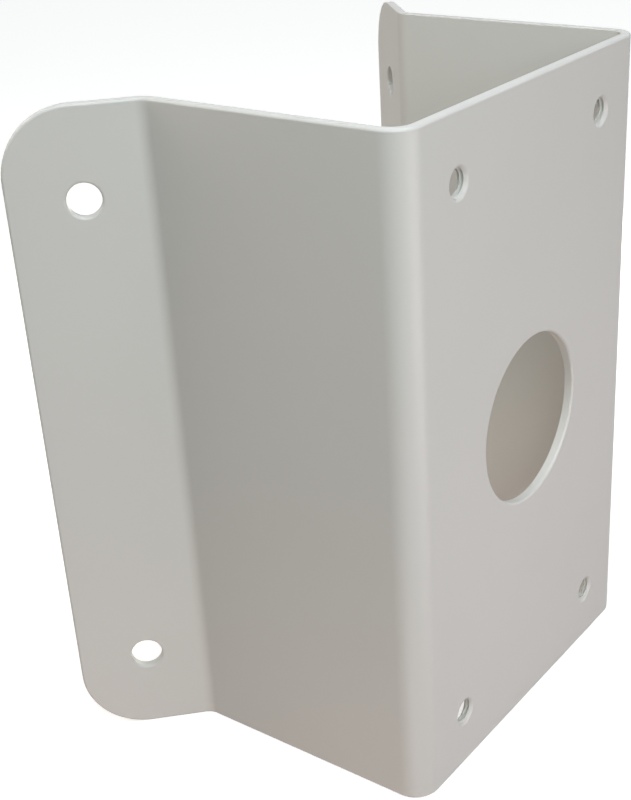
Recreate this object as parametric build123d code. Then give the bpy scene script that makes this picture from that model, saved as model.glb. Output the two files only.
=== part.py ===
from build123d import *
import os
from math import cos, radians, sin

# Driving sizes, in millimetres and degrees.
# The bracket is one steel sheet with four folds: a front plate, a side wall on each side of it,
# and a wall flange turned out from each side wall. Its flanges clasp the outer corner of a building.
plate_height = 200.0             # of the whole sheet, along the building's corner
front_width = 125.5              # over the outer faces of the side walls
wall_depth = 81.7                # from the front face to the fold line of a flange
flange_width = 39.2              # from the fold line to a flange's free edge
flange_angle = 45.0              # a flange's turn out of its side wall: half of the building's corner
sheet_thickness = 3.0
bend_radius = 5.0                # inside each fold
flange_corner_radius = 20.0
outer_edge_radius = 0.8          # of the outline, where the punch rolls the outer face over
inner_edge_radius = 0.4          # of the outline, where the burr is brushed off the inner face

# The cable to the camera comes through the middle of the front plate.
cable_hole_diameter = 51.5

# The camera's own plate is screwed to four tapped holes near the corners of the front plate.
camera_hole_side_distance = 24.0   # from a side wall's outer face to the middle of its holes
camera_hole_end_distance = 18.5    # from the sheet's top or bottom
camera_hole_spacing_x = front_width - 2 * camera_hole_side_distance
camera_hole_spacing_z = plate_height - 2 * camera_hole_end_distance
tap_drill_diameter = 6.8           # for an M8 thread
countersink_diameter = 9.0
countersink_angle = 90.0

# Each flange is screwed to its wall through two plain holes.
wall_hole_diameter = 9.5
wall_hole_end_distance = 26.0    # from the sheet's top or bottom to the middle of its holes
wall_hole_edge_distance = 21.0   # from a flange's free edge
wall_hole_spacing = plate_height - 2 * wall_hole_end_distance

LEFT, RIGHT = -1, 1
drill_run = 4 * sheet_thickness  # the length of a cutting tool, well past both faces
sharp_angle = 30.0               # faces that meet at more than this have a real edge between them
same_length = 1e-6


def flange_plane(side):
    """The outer face of a flange. Its origin is on the fold line and its X runs to the free edge."""
    turn = radians(flange_angle)
    return Plane(
        origin=(side * front_width / 2, wall_depth, 0),
        x_dir=(side * sin(turn), cos(turn), 0),
        z_dir=(side * cos(turn), -sin(turn), 0),
    )


def outer_face_line():
    """The outer face seen from above, from the left flange's free edge to the right one's."""
    left_flange, right_flange = flange_plane(LEFT), flange_plane(RIGHT)
    corners = [
        left_flange.from_local_coords((flange_width, 0, 0)),
        left_flange.origin,
        (LEFT * front_width / 2, 0),
        (RIGHT * front_width / 2, 0),
        right_flange.origin,
        right_flange.from_local_coords((flange_width, 0, 0)),
    ]
    # The face is the hollow side of the flanges' folds and the round side of the front plate's.
    hollow_side, round_side = bend_radius, bend_radius + sheet_thickness
    return FilletPolyline(*corners, radius=[hollow_side, round_side, round_side, hollow_side])


def folded_sheet():
    """The sheet with its four folds and square corners, and the frame's origin halfway up its front."""
    section = make_face(offset(outer_face_line(), amount=sheet_thickness, side=Side.LEFT))
    return extrude(Pos(0, 0, -plate_height / 2) * section, amount=plate_height)


def round_flange_corners(sheet):
    """Rounds the four corners of the flanges' free edges, whose edges are as long as the sheet is thick."""
    corners = sheet.edges().filter_by(lambda edge: abs(edge.length - sheet_thickness) < same_length)
    return fillet(corners, flange_corner_radius)


def round_outline(sheet):
    """Rounds the sheet's outline in its outer face, then in its inner one, and leaves the folds alone."""
    outer_line = outer_face_line()

    def is_sharp(edge):
        first, second = [face.normal_at(edge @ 0.5) for face in sheet.faces() if edge in face.edges()]
        return first.get_angle(second) > sharp_angle

    def is_outer(edge):
        middle = edge @ 0.5
        return is_sharp(edge) and outer_line.distance_to((middle.X, middle.Y, 0)) < same_length

    sheet = fillet(sheet.edges().filter_by(is_outer), outer_edge_radius)
    return fillet(sheet.edges().filter_by(is_sharp), inner_edge_radius)


def cable_hole():
    """The hole in the middle of the front plate."""
    return Plane.XZ * Cylinder(cable_hole_diameter / 2, drill_run)


def camera_holes():
    """The four tapped holes at their drilled size, each with a countersink in the front face."""
    hole = CounterSinkHole(
        radius=tap_drill_diameter / 2,
        counter_sink_radius=countersink_diameter / 2,
        depth=drill_run,
        counter_sink_angle=countersink_angle,
    )
    places = GridLocations(camera_hole_spacing_x, camera_hole_spacing_z, 2, 2)
    return [Plane.XZ * place * hole for place in places]


def wall_holes(side):
    """The two plain holes in a flange."""
    hole = Cylinder(wall_hole_diameter / 2, drill_run)
    row = flange_plane(side) * Pos(flange_width - wall_hole_edge_distance, 0)
    return [row * place * hole for place in GridLocations(0, wall_hole_spacing, 1, 2)]


def corner_bracket():
    """The whole bracket: the blank is folded, its outline is rounded and its holes are cut."""
    sheet = round_outline(round_flange_corners(folded_sheet()))
    return sheet - [cable_hole()] - camera_holes() - wall_holes(LEFT) - wall_holes(RIGHT)


os.makedirs("parts", exist_ok=True)
export_step(corner_bracket(), "parts/corner_bracket.step")
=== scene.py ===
"""Looks for the folded steel bracket that carries a security camera on the outer corner of a building."""

import logging
from dataclasses import dataclass, field
from enum import Enum
from math import cos, hypot, pi, radians, sin, tan
from typing import Any

import bmesh
import bpy
from mathutils import Matrix, Vector
from mathutils.geometry import delaunay_2d_cdt


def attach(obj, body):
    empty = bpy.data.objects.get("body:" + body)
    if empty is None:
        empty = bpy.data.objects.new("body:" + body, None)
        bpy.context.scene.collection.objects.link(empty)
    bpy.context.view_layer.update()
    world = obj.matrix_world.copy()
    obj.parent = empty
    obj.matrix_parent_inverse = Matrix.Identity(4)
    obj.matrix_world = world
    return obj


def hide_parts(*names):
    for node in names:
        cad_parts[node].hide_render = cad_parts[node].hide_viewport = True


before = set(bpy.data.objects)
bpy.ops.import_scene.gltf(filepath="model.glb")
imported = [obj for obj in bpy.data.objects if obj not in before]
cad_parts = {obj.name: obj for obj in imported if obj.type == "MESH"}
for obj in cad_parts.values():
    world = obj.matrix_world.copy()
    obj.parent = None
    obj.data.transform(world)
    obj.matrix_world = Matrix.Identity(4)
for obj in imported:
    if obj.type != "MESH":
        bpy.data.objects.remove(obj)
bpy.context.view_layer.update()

log = logging.getLogger("corner_bracket")

MM = 0.001
WHITE = (1.0, 1.0, 1.0, 1.0)
BLACK = (0.0, 0.0, 0.0, 1.0)
Flat = tuple[float, float]
Colour = tuple[float, float, float]


class Side(Enum):
    """The two halves of the bracket, as the sign of their X."""

    LEFT = -1
    RIGHT = 1


class Skin(Enum):
    """The two faces of the sheet, as the sign of their place through it."""

    FRONT = -1
    REAR = 1


class Wire:
    """The value that leaves a socket. Arithmetic on it adds Math nodes to its graph."""

    def __init__(self, graph: "Graph", socket: bpy.types.NodeSocket) -> None:
        """Wraps an output socket.

        Args:
            graph: The graph that the socket's node is in.
            socket: The output socket.
        """
        self.graph = graph
        self.socket = socket

    def __add__(self, other: "Wire | float") -> "Wire":
        """self + other."""
        return self.graph.math("ADD", self, other)

    def __radd__(self, other: "Wire | float") -> "Wire":
        """other + self."""
        return self.graph.math("ADD", other, self)

    def __sub__(self, other: "Wire | float") -> "Wire":
        """self - other."""
        return self.graph.math("SUBTRACT", self, other)

    def __rsub__(self, other: "Wire | float") -> "Wire":
        """other - self."""
        return self.graph.math("SUBTRACT", other, self)

    def __mul__(self, other: "Wire | float") -> "Wire":
        """self * other."""
        return self.graph.math("MULTIPLY", self, other)

    def __rmul__(self, other: "Wire | float") -> "Wire":
        """other * self."""
        return self.graph.math("MULTIPLY", other, self)

    def __truediv__(self, other: "Wire | float") -> "Wire":
        """self / other."""
        return self.graph.math("DIVIDE", self, other)

    def __neg__(self) -> "Wire":
        """-self."""
        return self.graph.math("MULTIPLY", self, -1.0)

    def __abs__(self) -> "Wire":
        """The size of self without its sign."""
        return self.graph.math("ABSOLUTE", self)


class Graph:
    """A node tree that is built by calls. It serves materials, the world and Geometry Nodes alike."""

    COLUMN_WIDTH = 190
    COLUMN_LENGTH = 8
    ROW_HEIGHT = 230

    def __init__(self, tree: bpy.types.NodeTree) -> None:
        """Starts from an empty tree.

        Args:
            tree: The tree that the nodes go into. What it holds is removed.
        """
        self.tree = tree
        tree.nodes.clear()

    def node(
        self,
        kind: str,
        settings: dict[str, Any] | None = None,
        inputs: dict[str | int, Any] | None = None,
    ) -> bpy.types.Node:
        """Adds any node.

        Args:
            kind: The node's type.
            settings: The node's own properties, set before its sockets.
            inputs: Values or wires for its input sockets, by number, identifier or name.

        Returns:
            The new node.
        """
        made = self.tree.nodes.new(kind)
        column, row = divmod(len(self.tree.nodes), self.COLUMN_LENGTH)
        made.location = (column * self.COLUMN_WIDTH, -row * self.ROW_HEIGHT)
        for name, value in (settings or {}).items():
            setattr(made, name, value)
        for key, value in (inputs or {}).items():
            socket = self.find(made.inputs, key)
            if isinstance(value, Wire):
                self.tree.links.new(value.socket, socket)
            else:
                socket.default_value = value
        return made

    def wire(
        self,
        kind: str,
        settings: dict[str, Any] | None = None,
        inputs: dict[str | int, Any] | None = None,
        output: str | int = 0,
    ) -> Wire:
        """Adds any node and returns one of its outputs.

        Args:
            kind: The node's type.
            settings: The node's own properties, set before its sockets.
            inputs: Values or wires for its input sockets, by number, identifier or name.
            output: The number, identifier or name of the output.

        Returns:
            The output's value.
        """
        return self.out(self.node(kind, settings, inputs), output)

    def out(self, made: bpy.types.Node, output: str | int) -> Wire:
        """One output of a node that is in the graph already.

        Args:
            made: The node.
            output: The number, identifier or name of the output.

        Returns:
            The output's value.
        """
        return Wire(self, self.find(made.outputs, output))

    def math(self, operation: str, *values: Wire | float) -> Wire:
        """Adds a Math node.

        Args:
            operation: What it works out.
            values: Up to three numbers or wires.

        Returns:
            The result.
        """
        return self.wire("ShaderNodeMath", {"operation": operation}, dict(enumerate(values)))

    @staticmethod
    def find(sockets: Any, key: str | int) -> bpy.types.NodeSocket:
        """Looks a socket up.

        Args:
            sockets: A node's inputs or outputs.
            key: Its number, identifier or name.

        Returns:
            The socket.
        """
        if isinstance(key, int):
            return sockets[key]
        return next(socket for socket in sockets if key in (socket.identifier, socket.name))


class GeometryTree(Graph):
    """A Geometry Nodes group whose sizes are named inputs."""

    def __init__(self, name: str) -> None:
        """Makes the group with its geometry input.

        Args:
            name: The group's name.
        """
        super().__init__(bpy.data.node_groups.new(name, "GeometryNodeTree"))
        self.entry = self.tree.nodes.new("NodeGroupInput")
        self.identifiers: dict[str, str] = {}
        self.geometry = self.input("Geometry", "NodeSocketGeometry")

    def input(self, name: str, kind: str = "NodeSocketFloat") -> Wire:
        """Adds a named input.

        Args:
            name: The input's name.
            kind: The input's socket type.

        Returns:
            The input's value inside the group.
        """
        socket = self.tree.interface.new_socket(name=name, in_out="INPUT", socket_type=kind)
        self.identifiers[name] = socket.identifier
        return self.out(self.entry, socket.identifier)

    def inputs(self, *names: str) -> list[Wire]:
        """Adds named number inputs and returns their values, in order."""
        return [self.input(name) for name in names]

    def finish(self, geometry: Wire) -> None:
        """Closes the group.

        Args:
            geometry: What the group gives back.
        """
        self.tree.interface.new_socket(name="Geometry", in_out="OUTPUT", socket_type="NodeSocketGeometry")
        leaving = self.tree.nodes.new("NodeGroupOutput")
        self.tree.links.new(geometry.socket, leaving.inputs[0])

    def finish_moved(self, x: Wire, y: Wire, z: Wire) -> None:
        """Closes the group, which gives back its geometry with every point moved.

        Args:
            x: The point's new X.
            y: Its new Y.
            z: Its new Z.
        """
        place = self.wire("ShaderNodeCombineXYZ", inputs={0: x, 1: y, 2: z})
        moved = {"Geometry": self.geometry, "Position": place}
        self.finish(self.wire("GeometryNodeSetPosition", inputs=moved))

    def use(self, group: "GeometryTree", inputs: dict[str, Any]) -> Wire:
        """Adds another group as a node.

        Args:
            group: The other group.
            inputs: Values or wires for its named inputs.

        Returns:
            The geometry that it gives back.
        """
        return self.wire("GeometryNodeGroup", {"node_tree": group.tree}, inputs)

    def dress(self, piece: bpy.types.Object, sizes: dict[str, Any]) -> None:
        """Puts the group on an object as a modifier.

        Args:
            piece: The object.
            sizes: The value of each named input.
        """
        modifier = piece.modifiers.new(self.tree.name, "NODES")
        modifier.node_group = self.tree
        for name, value in sizes.items():
            modifier[self.identifiers[name]] = value


@dataclass(frozen=True)
class Fold:
    """One fold of the flat blank.

    Attributes:
        side: The half of the blank that it is in.
        line: From the blank's middle to where the bend starts.
        turn: How far it turns, positive towards the back.
        radius: Of the sheet's middle layer.
        steps: Strips across the bend.
    """

    side: Side
    line: float
    turn: float
    radius: float
    steps: int

    @property
    def arc(self) -> float:
        """The length of the sheet's middle layer in the bend."""
        return abs(self.turn) * self.radius

    @property
    def end(self) -> float:
        """From the blank's middle to where the bend ends."""
        return self.line + self.arc

    def columns(self) -> list[float]:
        """The places of the strips' edges, from the blank's middle."""
        return [self.line + self.arc * step / self.steps for step in range(self.steps + 1)]

    @staticmethod
    def group() -> GeometryTree:
        """The Geometry Nodes group that bends one half of a sheet round one fold line.

        Returns:
            The group, whose inputs are the fold's own sizes.
        """
        tree = GeometryTree("fold")
        side, line, turn, radius = tree.inputs("Side", "Fold line", "Turn", "Radius")
        place = tree.node("ShaderNodeSeparateXYZ", inputs={0: tree.wire("GeometryNodeInputPosition")})
        x, y, z = (tree.out(place, axis) for axis in range(3))
        hand = tree.math("SIGN", turn)
        run = x * side - line
        along = tree.math("MINIMUM", tree.math("MAXIMUM", run, 0.0), abs(turn) * radius)
        past = run - along
        bend = along / radius
        lean, keep = tree.math("SINE", bend), tree.math("COSINE", bend)
        middle_x = line + radius * lean + past * keep
        middle_y = hand * (radius * (1.0 - keep) + past * lean)
        tree.finish_moved(side * (middle_x - y * hand * lean), middle_y + y * keep, z)
        return tree


@dataclass(frozen=True)
class PlainHole:
    """Holes with a plain wall and soft rims, at the corners of a rectangle or one in the middle.

    Attributes:
        radius: Of the wall.
        spread: The rectangle's width and height, both zero for one hole in the middle.
        segments: Steps round the wall.
        front_rim: The rounding of the rim in the outer face, where the punch went in.
        rear_rim: The rounding of the rim in the inner face.
        rim_steps: Steps across a rim.
    """

    radius: float
    spread: Flat
    segments: int
    front_rim: float = 0.8 * MM
    rear_rim: float = 0.4 * MM
    rim_steps: int = 5

    def mouth(self, skin: Skin) -> float:
        """The radius that the hole leaves in a skin."""
        return self.radius + (self.front_rim if skin is Skin.FRONT else self.rear_rim)

    @property
    def grid(self) -> tuple[int, int]:
        """Steps round the hole and through it."""
        return self.segments, 2 * self.rim_steps + 1

    def sizes(self) -> dict[str, float]:
        """Names the sizes as the group's inputs are named.

        Returns:
            The value of each input.
        """
        return {
            "Radius": self.radius,
            "Front rim": self.front_rim,
            "Rear rim": self.rear_rim,
            "Rim steps": float(self.rim_steps),
        }

    @staticmethod
    def group() -> GeometryTree:
        """The Geometry Nodes group that shapes a grid into a plain hole's wall.

        Returns:
            The group. Row by row, its grid goes round the front rim, through and round the rear rim.
        """
        tree = GeometryTree("plain hole wall")
        thickness, radius = tree.inputs("Sheet thickness", "Radius")
        front_rim, rear_rim, steps = tree.inputs("Front rim", "Rear rim", "Rim steps")
        angle, share = HoleGrid.coordinates(tree)
        rows = steps * 2.0 + 1.0
        row = share * rows
        to_rear = rows - row
        turn = tree.math("MINIMUM", row, to_rear) / steps * (pi / 2)
        front = tree.math("SIGN", to_rear - row)
        rim = (front_rim + rear_rim + (front_rim - rear_rim) * front) * 0.5
        wide = radius + rim * (1.0 - tree.math("SINE", turn))
        deep = thickness * 0.5 - rim * (1.0 - tree.math("COSINE", turn))
        HoleGrid.finish(tree, angle, wide, deep * front * -1.0)
        return tree


@dataclass(frozen=True)
class TappedHole:
    """Threaded holes with a countersink in the front face, at the corners of a rectangle.

    The thread and the countersink are one surface, because the paint runs them into each other.

    Attributes:
        radius: Of the drilled bore, which the thread's crests keep.
        spread: The rectangle's width and height.
        root: The thread's largest radius.
        pitch: From one groove to the next.
        first_root: How deep the first groove lies on the hole's right.
        sink: The countersink's radius at the front face.
        relief: How much the rear rim is opened.
        lip: The flat ring round each end of the hole.
        edge: How far the coat rounds the edges in both faces.
        paint: How far it rounds the edges inside the hole.
        segments: Steps round the hole.
        rows: Steps through the hole.
    """

    radius: float
    spread: Flat
    root: float = 4.1 * MM
    pitch: float = 1.25 * MM
    first_root: float = 1.45 * MM
    sink: float = 4.5 * MM
    relief: float = 0.3 * MM
    lip: float = 0.6 * MM
    edge: float = 0.55 * MM
    paint: float = 0.3 * MM
    segments: int = 64
    rows: int = 64

    def mouth(self, skin: Skin) -> float:
        """The radius that the hole leaves in a skin."""
        return (self.sink if skin is Skin.FRONT else self.radius + self.relief) + self.lip

    @property
    def grid(self) -> tuple[int, int]:
        """Steps round the hole and through it."""
        return self.segments, self.rows

    def sizes(self) -> dict[str, float]:
        """Names the sizes as the group's inputs are named.

        Returns:
            The value of each input.
        """
        return {
            "Radius": self.radius,
            "Root": self.root,
            "Pitch": self.pitch,
            "First root": self.first_root,
            "Sink": self.sink,
            "Relief": self.relief,
            "Lip": self.lip,
            "Edge": self.edge,
            "Paint": self.paint,
        }

    @staticmethod
    def group() -> GeometryTree:
        """The Geometry Nodes group that shapes a grid into a tapped hole's wall.

        Returns:
            The group. Its grid runs in along the front face, down the countersink and the thread, and
            out along the rear face.
        """
        tree = GeometryTree("tapped hole wall")
        thickness, radius, root, pitch = tree.inputs("Sheet thickness", "Radius", "Root", "Pitch")
        first, sink, relief, lip = tree.inputs("First root", "Sink", "Relief", "Lip")
        edge, paint = tree.inputs("Edge", "Paint")
        angle, share = HoleGrid.coordinates(tree)
        run = share * (thickness + lip * 2.0) - lip
        depth = tree.math("SMOOTH_MIN", tree.math("SMOOTH_MAX", run, 0.0, edge), thickness, edge)
        wave = tree.math("COSINE", (depth - first) / pitch * (2 * pi) + angle)
        thread = radius + (root - radius) * (wave * 0.5 + 0.5)
        cone = sink - run
        back = radius + relief + run - thickness
        wide = tree.math("SMOOTH_MAX", tree.math("SMOOTH_MAX", thread, cone, paint), back, paint)
        HoleGrid.finish(tree, angle, wide, depth - thickness * 0.5)
        return tree


class HoleGrid:
    """What the groups for both kinds of hole wall share: a unit grid that is rolled into a tube."""

    @staticmethod
    def coordinates(tree: GeometryTree) -> tuple[Wire, Wire]:
        """Reads the grid.

        Args:
            tree: The group that the nodes go into.

        Returns:
            The angle round the hole, and the share of the way through it.
        """
        place = tree.node("ShaderNodeSeparateXYZ", inputs={0: tree.wire("GeometryNodeInputPosition")})
        return (tree.out(place, 0) + 0.5) * (2 * pi), tree.out(place, 1) + 0.5

    @staticmethod
    def finish(tree: GeometryTree, angle: Wire, wide: Wire, deep: Wire) -> None:
        """Rolls the grid round the blank's Y axis.

        Args:
            tree: The group that the nodes go into.
            angle: The angle round the hole.
            wide: The radius.
            deep: The place through the sheet, from its middle layer.
        """
        tree.finish_moved(wide * tree.math("COSINE", angle), deep, wide * tree.math("SINE", angle))


@dataclass
class FoldedSheet:
    """The bracket itself: a steel sheet that is cut flat and folded four times.

    Sizes are those of the finished bracket. The flat blank is worked out from them.

    Attributes:
        height: Along the building's corner.
        front_width: Over the outer faces of the side walls.
        wall_depth: From the front face to the fold line of a flange.
        flange_width: From the fold line to a flange's free edge.
        flange_angle: A flange's turn out of its side wall.
        thickness: Of the sheet.
        bend_radius: Inside each fold.
        corner_radius: Of the flanges' free corners.
        front_rim: The rounding of the outline in the outer face, which the punch rolls over.
        rear_rim: The rounding of the outline in the inner face.
        rim_steps: Steps across each rounding.
        bend_step: The most that a strip of a fold turns.
        cell: The size of the mesh's cells on the flat faces.
        clear: The least room between a cell's corner and a hole or the outline.
        digits: Decimal places, in metres, that columns of points are rounded to.
        tolerance: Of the flat pattern's triangulation, in millimetres.
        flat_angle: Triangles that meet at less than this may be joined to a four-sided face.
        shape_angle: How far such a face's corners may be from right angles.
        face_weight: How much the large faces rule the shading, from 1 to 100.
        weld: Points closer than this are joined.
        cable_hole: The hole in the middle.
        wall_hole_radius: Of the holes in the flanges.
        wall_hole_segments: Steps round them.
        wall_hole_spacing: From one to the other in a flange.
        wall_hole_edge: From a flange's free edge to the middle of its holes.
        tapped: The camera's four holes.
    """

    height: float = 200 * MM
    front_width: float = 125.5 * MM
    wall_depth: float = 81.7 * MM
    flange_width: float = 39.2 * MM
    flange_angle: float = radians(45)
    thickness: float = 3 * MM
    bend_radius: float = 5 * MM
    corner_radius: float = 20 * MM
    front_rim: float = 0.8 * MM
    rear_rim: float = 0.4 * MM
    rim_steps: int = 5
    bend_step: float = radians(5)
    cell: float = 10 * MM
    clear: float = 2.5 * MM
    digits: int = 9
    tolerance: float = 1e-6
    flat_angle: float = 0.01
    shape_angle: float = radians(30)
    face_weight: int = 100
    weld: float = 0.01 * MM
    cable_hole: PlainHole = PlainHole(25.75 * MM, (0.0, 0.0), 144)
    wall_hole_radius: float = 4.75 * MM
    wall_hole_segments: int = 64
    wall_hole_spacing: float = 148 * MM
    wall_hole_edge: float = 21 * MM
    tapped: TappedHole = TappedHole(3.4 * MM, (77.5 * MM, 163 * MM))

    def __post_init__(self) -> None:
        """Works out the blank: its folds, its length and its holes."""
        front_flat = self.front_width / 2 - self.bend_radius - self.thickness
        front_arc = self.middle_radius * pi / 2
        hollow_setback = self.bend_radius * tan(self.flange_angle / 2)
        wall_flat = self.wall_depth - self.bend_radius - self.thickness - hollow_setback
        flange_line = front_flat + front_arc + wall_flat
        self.front_folds = [self.fold(side, front_flat, pi / 2) for side in Side]
        self.flange_folds = [self.fold(side, flange_line, -self.flange_angle) for side in Side]
        self.half_length = self.flange_folds[0].end + self.flange_width - hollow_setback
        self.half_height = self.height / 2
        wall_hole_spread = (2 * (self.half_length - self.wall_hole_edge), self.wall_hole_spacing)
        self.wall_holes = PlainHole(self.wall_hole_radius, wall_hole_spread, self.wall_hole_segments)

    @property
    def middle_radius(self) -> float:
        """The radius of the sheet's middle layer in every fold."""
        return self.bend_radius + self.thickness / 2

    def fold(self, side: Side, line: float, turn: float) -> Fold:
        """One fold at the sheet's own bend radius, from its side, its line and its turn."""
        return Fold(side, line, turn, self.middle_radius, round(abs(turn) / self.bend_step))

    def rim(self, skin: Skin) -> float:
        """The rounding of the outline in a skin."""
        return self.front_rim if skin is Skin.FRONT else self.rear_rim

    def holes(self) -> list[tuple[PlainHole | TappedHole, Flat]]:
        """Every hole of the blank.

        Returns:
            Each hole's kind and its centre in the blank.
        """
        placed: list[tuple[PlainHole | TappedHole, Flat]] = [(self.cable_hole, (0.0, 0.0))]
        for hole in (self.tapped, self.wall_holes):
            wide, high = hole.spread
            placed += [(hole, (x * wide / 2, z * high / 2)) for x in (-1, 1) for z in (-1, 1)]
        return placed

    def columns(self) -> list[float]:
        """The blank's columns of points, from its left end to its right end.

        Returns:
            Their places. They stand close together in the folds and a cell apart between them.
        """
        inner, outer = self.front_folds[1], self.flange_folds[1]
        flats = [(0.0, inner.line), (inner.end, outer.line), (outer.end, self.half_length)]
        half = [*inner.columns(), *outer.columns()]
        for start, end in flats:
            cells = round((end - start) / self.cell)
            half += [start + (end - start) * cell / cells for cell in range(cells + 1)]
        places = sorted({round(place, self.digits) for x in half for place in (x, -x)})
        reach = self.half_length - self.front_rim - self.clear
        return [x for x in places if abs(x) < reach]

    def rows(self) -> list[float]:
        """The heights of the blank's rows of points, without the outline's."""
        count = round(self.height / self.cell)
        return [self.height * row / count - self.half_height for row in range(1, count)]

    def outline(self, inset: float) -> list[Flat]:
        """The blank's outline.

        Args:
            inset: How far it is drawn inside the true one.

        Returns:
            Its points, anticlockwise from the lower left corner, as many for every inset.
        """
        across = self.half_length - self.corner_radius
        up = self.half_height - self.corner_radius
        edge_x = [x for x in self.columns() if abs(x) < across - self.clear]
        edge_z = [z for z in self.rows() if abs(z) < up - self.clear]
        steps = round((pi / 2) / self.bend_step)

        def corner(x_side: int, z_side: int, start: float) -> list[Flat]:
            """One rounded corner.

            Args:
                x_side: 1 for a corner on the right, -1 for one on the left.
                z_side: 1 for a corner at the top, -1 for one at the bottom.
                start: The angle at which it starts.

            Returns:
                Its points, anticlockwise.
            """
            radius = self.corner_radius - inset
            angles = [start + pi / 2 * step / steps for step in range(steps + 1)]
            return [(x_side * across + radius * cos(a), z_side * up + radius * sin(a)) for a in angles]

        return [
            *corner(-1, -1, pi),
            *[(x, inset - self.half_height) for x in edge_x],
            *corner(1, -1, 1.5 * pi),
            *[(self.half_length - inset, z) for z in edge_z],
            *corner(1, 1, 0.0),
            *[(x, self.half_height - inset) for x in reversed(edge_x)],
            *corner(-1, 1, 0.5 * pi),
            *[(inset - self.half_length, z) for z in reversed(edge_z)],
        ]

    def near_edge(self, x: float, z: float) -> bool:
        """Tells whether a point is too near the blank's outline to be a cell's corner.

        Args:
            x: The point's place across the blank.
            z: The point's height.

        Returns:
            True if it is too near.
        """
        past_x = max(abs(x) - (self.half_length - self.corner_radius), 0.0)
        past_z = max(abs(z) - (self.half_height - self.corner_radius), 0.0)
        return hypot(past_x, past_z) > self.corner_radius - self.front_rim - self.clear

    def pattern(self, skin: Skin) -> tuple[list[Flat], list[tuple[int, ...]]]:
        """The flat pattern of one of the blank's two skins.

        Args:
            skin: Which one. Their outlines and holes differ.

        Returns:
            Its points, which start with the outline's, and its triangles, anticlockwise from the front.
        """
        points = self.outline(self.rim(skin))
        edges = [(index, (index + 1) % len(points)) for index in range(len(points))]
        mouths = []
        for hole, centre in self.holes():
            radius, segments, first = hole.mouth(skin), hole.grid[0], len(points)
            mouths.append((centre, radius))
            turns = [2 * pi * step / segments for step in range(segments)]
            points += [(centre[0] + radius * cos(turn), centre[1] + radius * sin(turn)) for turn in turns]
            edges += [(first + step, first + (step + 1) % segments) for step in range(segments)]
        for x in self.columns():
            for z in self.rows():
                clear = all(hypot(x - at[0], z - at[1]) > radius + self.clear for at, radius in mouths)
                if clear and not self.near_edge(x, z):
                    points.append((x, z))
        edges += self.fold_lines(points)
        flat = [Vector(point) / MM for point in points]
        corners, _, faces, _, _, _ = delaunay_2d_cdt(flat, edges, [], 0, self.tolerance)
        kept = []
        for triangle in faces:
            middle = sum((corners[index] for index in triangle), Vector((0, 0))) / len(triangle) * MM
            if all(hypot(middle.x - at[0], middle.y - at[1]) > radius for at, radius in mouths):
                kept.append(tuple(triangle))
        return [tuple(corner * MM) for corner in corners], kept

    def fold_lines(self, points: list[Flat]) -> list[tuple[int, int]]:
        """The edges that a skin must have along its folds, so that no triangle crosses a strip.

        Args:
            points: The skin's points.

        Returns:
            Pairs of point numbers, each one above the other in a column of a fold.
        """
        edges = []
        for fold in self.front_folds + self.flange_folds:
            for column in fold.columns():
                place = fold.side.value * column
                stack = [i for i, point in enumerate(points) if abs(point[0] - place) < self.weld]
                stack.sort(key=lambda index: points[index][1])
                edges += list(zip(stack, stack[1:]))
        return edges

    def blank(self) -> bpy.types.Mesh:
        """The flat blank: its two skins and the rounded edge between them, without the holes' walls.

        Returns:
            A mesh in X and Z, with the sheet's middle layer at Y 0.
        """
        work = bmesh.new()
        edges = {}
        for skin in Skin:
            corners, triangles = self.pattern(skin)
            verts = [work.verts.new((x, skin.value * self.thickness / 2, z)) for x, z in corners]
            for triangle in triangles:
                order = triangle if skin is Skin.FRONT else tuple(reversed(triangle))
                work.faces.new([verts[index] for index in order])
            edges[skin] = verts[: len(self.outline(0.0))]
        bmesh.ops.join_triangles(
            work,
            faces=work.faces[:],
            angle_face_threshold=self.flat_angle,
            angle_shape_threshold=self.shape_angle,
        )
        rings = [edges[Skin.FRONT]]
        angles = [pi / 2 * step / self.rim_steps for step in range(1, self.rim_steps + 1)]
        for skin, turns in ((Skin.FRONT, angles), (Skin.REAR, angles[::-1])):
            rim = self.rim(skin)
            for turn in turns:
                y = skin.value * (self.thickness / 2 - rim * (1 - cos(turn)))
                ring = self.outline(rim * (1 - sin(turn)))
                rings.append([work.verts.new((x, y, z)) for x, z in ring])
        rings.append(edges[Skin.REAR])
        for front, rear in zip(rings, rings[1:]):
            for index in range(len(front)):
                after = (index + 1) % len(front)
                work.faces.new((front[index], rear[index], rear[after], front[after]))
        mesh = bpy.data.meshes.new("corner_bracket_blank")
        work.to_mesh(mesh)
        work.free()
        return mesh

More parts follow.
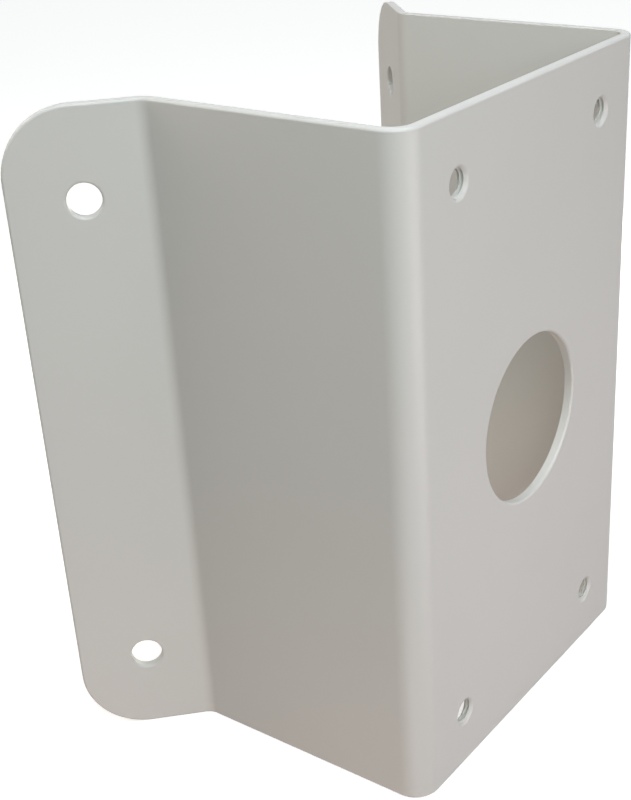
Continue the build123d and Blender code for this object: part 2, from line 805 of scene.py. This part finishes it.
    def tree(self, material: bpy.types.Material) -> tuple[GeometryTree, dict[str, Any]]:
        """The Geometry Nodes that pierce the blank and fold it.

        Args:
            material: The finish of the whole sheet.

        Returns:
            The tree, and the values of its named inputs.
        """
        tree = GeometryTree("folded sheet")
        sizes: dict[str, Any] = {"Sheet thickness": self.thickness, "Weld distance": self.weld}
        thickness, weld = tree.inputs(*sizes)
        parts = [tree.geometry]
        named = {"Cable hole": self.cable_hole, "Camera holes": self.tapped, "Wall holes": self.wall_holes}
        groups = {PlainHole: PlainHole.group(), TappedHole: TappedHole.group()}
        for name, hole in named.items():
            parts.append(self.pierce(tree, sizes, name, hole, groups[type(hole)], thickness))
        joined = tree.node("GeometryNodeJoinGeometry")
        for part in reversed(parts):
            tree.tree.links.new(part.socket, joined.inputs[0])
        whole = tree.wire(
            "GeometryNodeMergeByDistance", inputs={"Geometry": tree.out(joined, 0), "Distance": weld}
        )
        group = Fold.group()
        for place, folds in (("Flange", self.flange_folds), ("Front", self.front_folds)):
            for fold in folds:
                label = f"{place} fold, {fold.side.name.lower()}"
                values = {
                    f"{label}: side": float(fold.side.value),
                    f"{label}: line": fold.line,
                    f"{label}: turn": fold.turn,
                    f"{label}: radius": fold.radius,
                }
                sizes.update(values)
                side, line, turn, radius = tree.inputs(*values)
                links = {"Geometry": whole, "Side": side, "Fold line": line, "Turn": turn, "Radius": radius}
                whole = tree.use(group, links)
        to_origin = tree.wire("ShaderNodeCombineXYZ", inputs={1: thickness * 0.5})
        placed = tree.wire("GeometryNodeSetPosition", inputs={"Geometry": whole, "Offset": to_origin})
        smooth = tree.wire("GeometryNodeSetShadeSmooth", inputs={"Geometry": placed})
        plain = tree.wire("GeometryNodeRealizeInstances", inputs={"Geometry": smooth})
        tree.finish(tree.wire("GeometryNodeSetMaterial", inputs={"Geometry": plain, "Material": material}))
        return tree, sizes

    def pierce(
        self,
        tree: GeometryTree,
        sizes: dict[str, Any],
        name: str,
        hole: PlainHole | TappedHole,
        group: GeometryTree,
        thickness: Wire,
    ) -> Wire:
        """Adds the nodes that stand a hole's wall at each of its places.

        Args:
            tree: The tree that the nodes go into.
            sizes: The values of the tree's inputs, which this adds to.
            name: What the holes are called in the tree's inputs.
            hole: The holes' kind and sizes.
            group: The group that shapes such a wall.
            thickness: The sheet's thickness.

        Returns:
            The walls.
        """
        values = {f"{name}: {key.lower()}": value for key, value in hole.sizes().items()}
        sizes.update(values)
        links = dict(zip(hole.sizes(), tree.inputs(*values)))
        around, through = hole.grid
        unit = tree.wire(
            "GeometryNodeMeshGrid",
            inputs={"Size X": 1.0, "Size Y": 1.0, "Vertices X": around + 1, "Vertices Y": through + 1},
        )
        wall = tree.use(group, {"Geometry": unit, "Sheet thickness": thickness, **links})
        wide, high = hole.spread
        if wide:
            spread = {f"{name}: spread across": wide, f"{name}: spread up": high}
            sizes.update(spread)
            across, up = tree.inputs(*spread)
            corners = {"Size X": across, "Size Y": up, "Vertices X": 2, "Vertices Y": 2}
            spots = tree.wire("GeometryNodeMeshGrid", inputs=corners)
        else:
            spots = tree.wire("GeometryNodeMeshLine", inputs={"Count": 1})
        upright = tree.wire(
            "GeometryNodeTransform", inputs={"Geometry": spots, "Rotation": (pi / 2, 0.0, 0.0)}
        )
        stood = tree.wire("GeometryNodeInstanceOnPoints", inputs={"Points": upright, "Instance": wall})
        return tree.wire("GeometryNodeRealizeInstances", inputs={"Geometry": stood})

    def build(self, finish: "PowderCoat") -> bpy.types.Object:
        """Makes the bracket, and lets it stand for the CAD node.

        Args:
            finish: The coat that it gets.

        Returns:
            The bracket, as a plain mesh at the origin.
        """
        source = bpy.data.objects.new("corner_bracket_source", self.blank())
        bpy.context.scene.collection.objects.link(source)
        tree, sizes = self.tree(finish.material())
        tree.dress(source, sizes)
        shading = source.modifiers.new("even faces", "WEIGHTED_NORMAL")
        shading.weight = self.face_weight
        shading.keep_sharp = False
        layer = bpy.context.evaluated_depsgraph_get()
        mesh = bpy.data.meshes.new_from_object(source.evaluated_get(layer), depsgraph=layer)
        mesh.name = "corner_bracket_sheet"
        bpy.data.objects.remove(source)
        piece = bpy.data.objects.new("corner_bracket_sheet", mesh)
        bpy.context.scene.collection.objects.link(piece)
        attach(piece, "root")
        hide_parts("corner_bracket")
        return piece


@dataclass(frozen=True)
class PowderCoat:
    """Fine satin powder coat in a light warm grey.

    Attributes:
        colour: Linear base colour.
        tone: How much the colour wanders over the sheet.
        tone_scale: Wanderings in a metre.
        tone_detail: How finely they break up.
        roughness: Of the coat.
        peel: The height of the coat's fine waviness.
        peel_scale: Its waves in a metre.
        peel_detail: How finely they break up.
        peel_strength: How much of it shows.
    """

    colour: Colour = (0.54, 0.54, 0.51)
    tone: float = 0.02
    tone_scale: float = 25.0
    tone_detail: float = 3.0
    roughness: float = 0.44
    peel: float = 0.01 * MM
    peel_scale: float = 700.0
    peel_detail: float = 2.0
    peel_strength: float = 0.25

    def material(self) -> bpy.types.Material:
        """Builds the coat's material.

        Returns:
            The material.
        """
        made = bpy.data.materials.new("powder_coat")
        made.use_nodes = True
        graph = Graph(made.node_tree)
        place = graph.wire("ShaderNodeTexCoord", output="Object")
        clouds = graph.wire(
            "ShaderNodeTexNoise",
            inputs={"Vector": place, "Scale": self.tone_scale, "Detail": self.tone_detail},
        )
        light = tuple(channel * (1 + self.tone) for channel in self.colour) + (1.0,)
        dark = tuple(channel * (1 - self.tone) for channel in self.colour) + (1.0,)
        colour = graph.wire(
            "ShaderNodeMix",
            {"data_type": "RGBA"},
            {"Factor_Float": clouds, "A_Color": dark, "B_Color": light},
            "Result_Color",
        )
        waves = graph.wire(
            "ShaderNodeTexNoise",
            inputs={"Vector": place, "Scale": self.peel_scale, "Detail": self.peel_detail},
        )
        bump = graph.wire(
            "ShaderNodeBump",
            inputs={"Height": waves, "Distance": self.peel, "Strength": self.peel_strength},
        )
        coat = graph.wire(
            "ShaderNodeBsdfPrincipled",
            inputs={"Base Color": colour, "Roughness": self.roughness, "Normal": bump},
        )
        graph.node("ShaderNodeOutputMaterial", inputs={"Surface": coat})
        return made


@dataclass(frozen=True)
class Lamp:
    """What both kinds of lamp have. The camera sees neither kind.

    Attributes:
        name: The lamp's name.
        light: Its brightness in red, green and blue.
    """

    name: str
    light: Colour

    def place(self, kind: str, towards: Vector) -> bpy.types.Object:
        """Makes the lamp at the origin.

        Args:
            kind: The lamp's type.
            towards: Where its light comes from.

        Returns:
            The lamp's object.
        """
        lamp = bpy.data.lights.new(self.name, kind)
        lamp.energy = max(self.light)
        lamp.color = [channel / lamp.energy for channel in self.light]
        lamp.cycles.use_multiple_importance_sampling = False
        made = bpy.data.objects.new(self.name, lamp)
        made.visible_camera = False
        made.rotation_euler = towards.to_track_quat("Z", "Y").to_euler()
        bpy.context.scene.collection.objects.link(made)
        log.info("%s: %.2f", self.name, lamp.energy)
        return made


@dataclass(frozen=True)
class FarLamp(Lamp):
    """A wide lamp that is so far off that it lights everything evenly.

    Attributes:
        azimuth: Where it stands round the bracket, in degrees: 0 in front, 90 to its right.
        elevation: How high it stands, in degrees.
        spread: How wide it looks, in degrees.
    """

    azimuth: float
    elevation: float
    spread: float

    def build(self) -> bpy.types.Object:
        """Makes the lamp, whose light is in watts a square metre.

        Returns:
            The lamp's object.
        """
        turn, lift = radians(self.azimuth), radians(self.elevation)
        towards = Vector((sin(turn) * cos(lift), -cos(turn) * cos(lift), sin(lift)))
        made = self.place("SUN", towards)
        made.data.angle = radians(self.spread)
        return made


@dataclass(frozen=True)
class SoftBox(Lamp):
    """A square lamp near the bracket.

    Attributes:
        middle: Of its face.
        aim: The point that it faces.
        size: Of its sides.
    """

    middle: tuple[float, float, float]
    aim: tuple[float, float, float]
    size: float

    def build(self) -> bpy.types.Object:
        """Makes the lamp, whose light is in watts.

        Returns:
            The lamp's object.
        """
        made = self.place("AREA", Vector(self.middle) - Vector(self.aim))
        made.location = self.middle
        made.data.shape = "SQUARE"
        made.data.size = self.size
        return made


@dataclass
class Studio:
    """The pale floor, the white surroundings and the soft lamps.

    The floor throws no shadow and no diffuse light onto the bracket, so that lamps can stand below it.
    They do the work of a pale table.

    Attributes:
        floor_height: Where the bracket stands.
        floor_reach: From the middle to the floor's edge.
        floor_colour: Of the floor where it is looked at.
        near_lift: White that the floor adds under the bracket where it is looked at.
        far_lift: White that it adds far off, where the lamps light it less.
        lift_reach: From the middle to where it adds that much.
        lamps: The soft lamps.
    """

    floor_height: float = -100 * MM
    floor_reach: float = 6.0
    floor_colour: Colour = (0.8, 0.8, 0.8)
    near_lift: float = 0.4
    far_lift: float = 0.8
    lift_reach: float = 0.55
    lamps: list[FarLamp | SoftBox] = field(
        default_factory=lambda: [
            SoftBox(
                "overhead",
                light=(2.52, 2.54, 2.75),
                middle=(-0.1, -0.07, 0.6),
                aim=(0.0, 0.0, 0.0),
                size=0.4,
            ),
            FarLamp("front left", light=(0.74, 0.8, 0.8), azimuth=-45, elevation=40, spread=80),
            SoftBox(
                "upper front left",
                light=(0.87, 0.99, 0.99),
                middle=(-0.3, -0.3, 0.3),
                aim=(-0.06, 0.0, 0.0),
                size=0.25,
            ),
            SoftBox(
                "upper back left",
                light=(0.97, 0.87, 0.77),
                middle=(-0.2, 0.45, 0.25),
                aim=(0.0, 0.05, 0.0),
                size=0.3,
            ),
            SoftBox(
                "front",
                light=(0.59, 0.5, 0.51),
                middle=(0.0, -0.35, -0.05),
                aim=(0.0, 0.0, -0.02),
                size=0.25,
            ),
            SoftBox(
                "low front left",
                light=(0.39, 0.31, 0.3),
                middle=(-0.35, -0.15, -0.35),
                aim=(-0.06, 0.0, -0.05),
                size=0.25,
            ),
            SoftBox(
                "low back left",
                light=(0.25, 0.16, 0.12),
                middle=(-0.3, 0.1, -0.35),
                aim=(-0.06, 0.05, -0.05),
                size=0.25,
            ),
            SoftBox(
                "right",
                light=(1.2, 1.15, 1.05),
                middle=(0.42, 0.28, -0.05),
                aim=(0.03, 0.06, 0.0),
                size=0.2,
            ),
            SoftBox(
                "low back right",
                light=(0.7, 0.6, 0.45),
                middle=(0.21, 0.25, -0.38),
                aim=(0.0, 0.05, 0.0),
                size=0.2,
            ),
        ]
    )

    @staticmethod
    def looked_at(graph: Graph) -> Wire:
        """Tells apart the rays that look at the scene and those that gather light.

        Args:
            graph: The material's or the world's graph.

        Returns:
            1 for the camera and for what glossy and clear surfaces show of the scene, else 0.
        """
        path = graph.node("ShaderNodeLightPath")
        seen = graph.out(path, "Is Camera Ray") + graph.out(path, "Is Glossy Ray")
        return graph.math("MINIMUM", seen + graph.out(path, "Is Transmission Ray"), 1.0)

    def surroundings(self) -> None:
        """Makes the world: white where it is looked at. The lamps alone light the bracket."""
        world = bpy.data.worlds.new("surroundings")
        world.use_nodes = True
        bpy.context.scene.world = world
        graph = Graph(world.node_tree)
        white = graph.wire(
            "ShaderNodeBackground",
            inputs={"Color": WHITE, "Strength": self.looked_at(graph)},
        )
        graph.node("ShaderNodeOutputWorld", inputs={"Surface": white})

    def floor(self) -> bpy.types.Object:
        """Makes the floor, which keeps the bracket's shadow.

        Returns:
            The floor.
        """
        signs = ((-1, -1), (1, -1), (1, 1), (-1, 1))
        corners = [(x * self.floor_reach, y * self.floor_reach, self.floor_height) for x, y in signs]
        mesh = bpy.data.meshes.new("floor")
        mesh.from_pydata(corners, [], [(0, 1, 2, 3)])
        material = bpy.data.materials.new("floor")
        material.use_nodes = True
        graph = Graph(material.node_tree)
        seen = self.looked_at(graph)
        tone = graph.wire(
            "ShaderNodeMix",
            {"data_type": "RGBA"},
            {"Factor_Float": seen, "A_Color": BLACK, "B_Color": (*self.floor_colour, 1.0)},
            "Result_Color",
        )
        matt = graph.wire("ShaderNodeBsdfDiffuse", inputs={"Color": tone})
        place = graph.wire("ShaderNodeTexCoord", output="Object")
        distance = graph.wire("ShaderNodeVectorMath", {"operation": "LENGTH"}, {0: place}, "Value")
        slope = (self.far_lift - self.near_lift) / self.lift_reach
        white = graph.math("MINIMUM", self.near_lift + distance * slope, self.far_lift)
        lift = graph.wire("ShaderNodeEmission", inputs={"Strength": seen * white})
        both = graph.wire("ShaderNodeAddShader", inputs={0: matt, 1: lift})
        graph.node("ShaderNodeOutputMaterial", inputs={"Surface": both})
        mesh.materials.append(material)
        made = bpy.data.objects.new("floor", mesh)
        made.visible_shadow = False
        bpy.context.scene.collection.objects.link(made)
        log.info("floor: %.0f m across", 2 * self.floor_reach)
        return made

    def build(self) -> None:
        """Makes the whole studio."""
        self.surroundings()
        self.floor()
        for lamp in self.lamps:
            lamp.build()


@dataclass(frozen=True)
class Viewpoint:
    """The photograph's camera: in front of the bracket, to its left and above it, looking down.

    Attributes:
        place: Of the camera.
        heading: Where it looks, in degrees from straight back towards the right.
        tilt: How far it looks down, in degrees.
        roll: How far it leans to its right, in degrees.
        lens: Focal length in millimetres.
        shift: How far the picture is moved on the sensor.
        sensor: The sensor's width in millimetres.
        nearest: The nearest that it sees.
    """

    place: tuple[float, float, float] = (-322.957 * MM, -175.637 * MM, 183.309 * MM)
    heading: float = 52.5788
    tilt: float = 26.6608
    roll: float = -3.2872
    lens: float = 62.4695
    shift: Flat = (-0.028509, 0.032920)
    sensor: float = 36.0
    nearest: float = 10 * MM

    def build(self) -> bpy.types.Object:
        """Makes the camera and gives it to the scene.

        Returns:
            The camera.
        """
        data = bpy.data.cameras.new("camera")
        data.lens = self.lens
        data.sensor_width = self.sensor
        data.shift_x, data.shift_y = self.shift
        data.clip_start = self.nearest
        made = bpy.data.objects.new("camera", data)
        bpy.context.scene.collection.objects.link(made)
        turn, fall, lean = radians(self.heading), radians(self.tilt), radians(self.roll)
        ahead = Vector((sin(turn) * cos(fall), cos(turn) * cos(fall), -sin(fall)))
        level = Vector((cos(turn), -sin(turn), 0.0))
        upward = level.cross(ahead)
        right = level * cos(lean) + upward * sin(lean)
        up = upward * cos(lean) - level * sin(lean)
        axes = Matrix((right, up, -ahead)).transposed().to_4x4()
        made.matrix_world = Matrix.Translation(self.place) @ axes
        bpy.context.scene.camera = made
        log.info("camera: lens %.1f mm", self.lens)
        return made


def main() -> None:
    """Builds the bracket, the studio and the camera."""
    logging.basicConfig(level=logging.INFO, format="%(name)s: %(message)s")
    piece = FoldedSheet().build(PowderCoat())
    log.info("%s: %d points, %d faces", piece.name, len(piece.data.vertices), len(piece.data.polygons))
    Studio().build()
    Viewpoint().build()
    scene = bpy.context.scene
    scene.view_settings.view_transform = "Standard"


if __name__ == "__main__":
    main()
